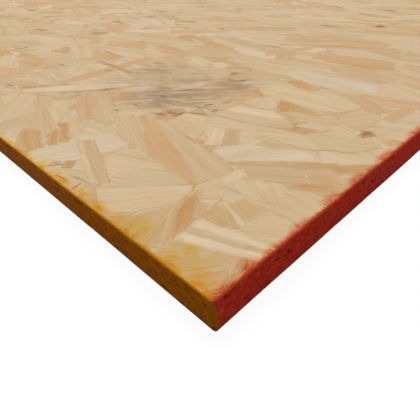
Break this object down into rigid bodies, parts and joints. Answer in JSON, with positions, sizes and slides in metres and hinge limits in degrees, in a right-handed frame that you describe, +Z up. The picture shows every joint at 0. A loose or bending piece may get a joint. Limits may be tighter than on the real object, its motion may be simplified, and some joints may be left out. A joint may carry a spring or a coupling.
{
  "type": "osb panel",
  "caption": "Flat sheet of oriented strand board with sawn square edges, one paint colour on its long edges and another on its ends.",
  "frame": {"origin": "centre of the underside", "axes": "+X along the sheet's length and its face strands, +Y across its width, +Z up through its thickness"},
  "size_m": [2.44, 1.22, 0.018],
  "materials": {
    "strand_board": "pressed wood strands in cream, tan and light brown, matt",
    "long_edge_paint": "ochre yellow edge sealer, soaked in, low sheen",
    "end_edge_paint": "red edge sealer, soaked in, low sheen"
  },
  "bodies": {
    "root": {"osb_panel": "strand_board"}
  },
  "joints": []
}
